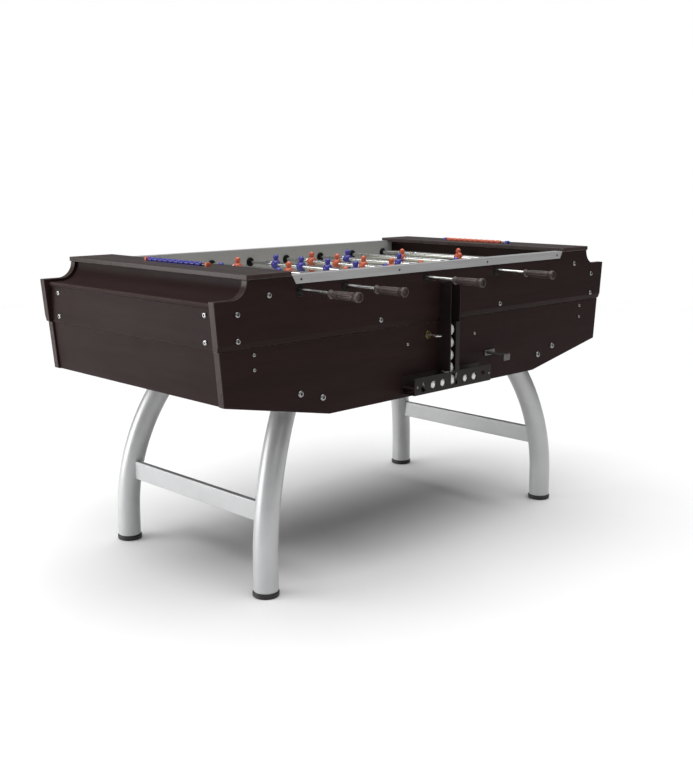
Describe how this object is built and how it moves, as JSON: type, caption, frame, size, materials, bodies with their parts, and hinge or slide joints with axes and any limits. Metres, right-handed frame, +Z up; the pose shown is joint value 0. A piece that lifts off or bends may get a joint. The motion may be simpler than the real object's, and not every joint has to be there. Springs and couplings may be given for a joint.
{
  "type": "foosball table",
  "caption": "Foosball table with telescopic rods, lifting playing box, ball channel, coin slide and bent tube legs.",
  "frame": {"origin": "on the floor, under the middle of the table", "axes": "+X along the table from the left goal to the right goal, +Y from the ball channel side to the hinge side, +Z up"},
  "size_m": [1.5608, 1.148, 0.8197],
  "materials": {
    "dark_board": "dark wenge laminate, satin",
    "cap_board": "dark laminate, polished",
    "grey_laminate": "satin grey laminate",
    "field_laminate": "pale satin laminate",
    "trim_aluminium": "brushed anodised",
    "black_nylon": "moulded, satin",
    "score_wire": "drawn wire with moulded end posts",
    "blue_plastic": "gloss",
    "orange_plastic": "gloss",
    "blue_figure": "gloss moulded",
    "orange_figure": "gloss moulded",
    "zinc_bolt": "zinc plated",
    "hinge_steel": "zinc plated",
    "plywood": "birch plywood",
    "leg_paint": "silver powder paint",
    "foot_plastic": "black moulded",
    "dark_sheet_metal": "dark powder paint",
    "white_ball": "matt white",
    "lock_brass": "aged brass",
    "key_steel": "nickel plated",
    "coin_steel": "satin",
    "steel_rod": "ground steel",
    "chrome_tube": "polished",
    "grip_plastic": "dark brown moulded"
  },
  "bodies": {
    "cabinet": {"lower_sides": "dark_board", "lower_boards": "dark_board", "ball_gutter": "plywood", "legs": "leg_paint", "crossbars": "leg_paint", "foot_caps": "foot_plastic", "ball_channel": "dark_sheet_metal", "ball_tray": "dark_sheet_metal", "balls": "white_ball", "lock_cylinder": "lock_brass", "coin_plate": "coin_steel", "cabinet_fasteners": "zinc_bolt", "lid_hinge_lower": "hinge_steel"},
    "top_box": {"upper_sides": "dark_board", "upper_ends": "dark_board", "cove_panels": "dark_board", "end_caps": "cap_board", "inner_walls": "grey_laminate", "playfield": "field_laminate", "side_trims": "trim_aluminium", "rod_bearings": "black_nylon", "score_rails": "score_wire", "top_fasteners": "zinc_bolt", "lid_hinge_upper": "hinge_steel"},
    "left_beads": {"score_beads_left": "blue_plastic"},
    "right_beads": {"score_beads_right": "orange_plastic"},
    "key": {"lock_key": "key_steel"},
    "coin_pusher": {"coin_slide": "coin_steel"},
    "rod_1_core": {"rod_1_inner": "steel_rod"},
    "rod_1_set": {"rod_1_tube": "chrome_tube", "rod_1_men": "blue_figure", "rod_1_handle": "grip_plastic"},
    "rod_2_core": {"rod_2_inner": "steel_rod"},
    "rod_2_set": {"rod_2_tube": "chrome_tube", "rod_2_men": "blue_figure", "rod_2_handle": "grip_plastic"},
    "rod_3_core": {"rod_3_inner": "steel_rod"},
    "rod_3_set": {"rod_3_tube": "chrome_tube", "rod_3_men": "orange_figure", "rod_3_handle": "grip_plastic"},
    "rod_4_core": {"rod_4_inner": "steel_rod"},
    "rod_4_set": {"rod_4_tube": "chrome_tube", "rod_4_men": "blue_figure", "rod_4_handle": "grip_plastic"},
    "rod_5_core": {"rod_5_inner": "steel_rod"},
    "rod_5_set": {"rod_5_tube": "chrome_tube", "rod_5_men": "orange_figure", "rod_5_handle": "grip_plastic"},
    "rod_6_core": {"rod_6_inner": "steel_rod"},
    "rod_6_set": {"rod_6_tube": "chrome_tube", "rod_6_men": "blue_figure", "rod_6_handle": "grip_plastic"},
    "rod_7_core": {"rod_7_inner": "steel_rod"},
    "rod_7_set": {"rod_7_tube": "chrome_tube", "rod_7_men": "orange_figure", "rod_7_handle": "grip_plastic"},
    "rod_8_core": {"rod_8_inner": "steel_rod"},
    "rod_8_set": {"rod_8_tube": "chrome_tube", "rod_8_men": "orange_figure", "rod_8_handle": "grip_plastic"}
  },
  "joints": [
    {"name": "lid_open", "type": "hinge", "parent": "cabinet", "child": "top_box", "pos_m": [0, 0.379, 0.6425], "axis": [-1, 0, 0], "range_deg": [0, 60]},
    {"name": "left_score", "type": "slide", "parent": "top_box", "child": "left_beads", "axis": [0, -1, 0], "range_m": [0, 0.019]},
    {"name": "right_score", "type": "slide", "parent": "top_box", "child": "right_beads", "axis": [0, -1, 0], "range_m": [0, 0.019]},
    {"name": "lock_turn", "type": "hinge", "parent": "cabinet", "child": "key", "pos_m": [-0.058, -0.3715, 0.6095], "axis": [0, 1, 0], "range_deg": [0, 90]},
    {"name": "coin_push", "type": "slide", "parent": "cabinet", "child": "coin_pusher", "axis": [0, 1, 0], "range_m": [0, 0.052]},
    {"name": "rod_1_spin", "type": "hinge", "parent": "top_box", "child": "rod_1_core", "pos_m": [-0.525, 0, 0.763], "axis": [0, -1, 0], "range_deg": [-30, 180]},
    {"name": "rod_1_slide", "type": "slide", "parent": "rod_1_core", "child": "rod_1_set", "axis": [0, -1, 0], "range_m": [-0.099, 0.146]},
    {"name": "rod_2_spin", "type": "hinge", "parent": "top_box", "child": "rod_2_core", "pos_m": [-0.375, 0, 0.763], "axis": [0, 1, 0], "continuous": true},
    {"name": "rod_2_slide", "type": "slide", "parent": "rod_2_core", "child": "rod_2_set", "axis": [0, -1, 0], "range_m": [-0.1, 0.193]},
    {"name": "rod_3_spin", "type": "hinge", "parent": "top_box", "child": "rod_3_core", "pos_m": [-0.225, 0, 0.763], "axis": [0, 1, 0], "continuous": true},
    {"name": "rod_3_slide", "type": "slide", "parent": "rod_3_core", "child": "rod_3_set", "axis": [0, 1, 0], "range_m": [-0.092, 0.095]},
    {"name": "rod_4_spin", "type": "hinge", "parent": "top_box", "child": "rod_4_core", "pos_m": [-0.075, 0, 0.763], "axis": [0, 1, 0], "continuous": true},
    {"name": "rod_4_slide", "type": "slide", "parent": "rod_4_core", "child": "rod_4_set", "axis": [0, -1, 0], "range_m": [-0.076, 0.076]},
    {"name": "rod_5_spin", "type": "hinge", "parent": "top_box", "child": "rod_5_core", "pos_m": [0.075, 0, 0.763], "axis": [0, 1, 0], "continuous": true},
    {"name": "rod_5_slide", "type": "slide", "parent": "rod_5_core", "child": "rod_5_set", "axis": [0, 1, 0], "range_m": [-0.078, 0.074]},
    {"name": "rod_6_spin", "type": "hinge", "parent": "top_box", "child": "rod_6_core", "pos_m": [0.225, 0, 0.763], "axis": [0, 1, 0], "continuous": true},
    {"name": "rod_6_slide", "type": "slide", "parent": "rod_6_core", "child": "rod_6_set", "axis": [0, -1, 0], "range_m": [-0.096, 0.091]},
    {"name": "rod_7_spin", "type": "hinge", "parent": "top_box", "child": "rod_7_core", "pos_m": [0.375, 0, 0.763], "axis": [0, 1, 0], "continuous": true},
    {"name": "rod_7_slide", "type": "slide", "parent": "rod_7_core", "child": "rod_7_set", "axis": [0, 1, 0], "range_m": [-0.092, 0.201]},
    {"name": "rod_8_spin", "type": "hinge", "parent": "top_box", "child": "rod_8_core", "pos_m": [0.525, 0, 0.763], "axis": [0, 1, 0], "range_deg": [-30, 180]},
    {"name": "rod_8_slide", "type": "slide", "parent": "rod_8_core", "child": "rod_8_set", "axis": [0, 1, 0], "range_m": [-0.1, 0.145]}
  ]
}
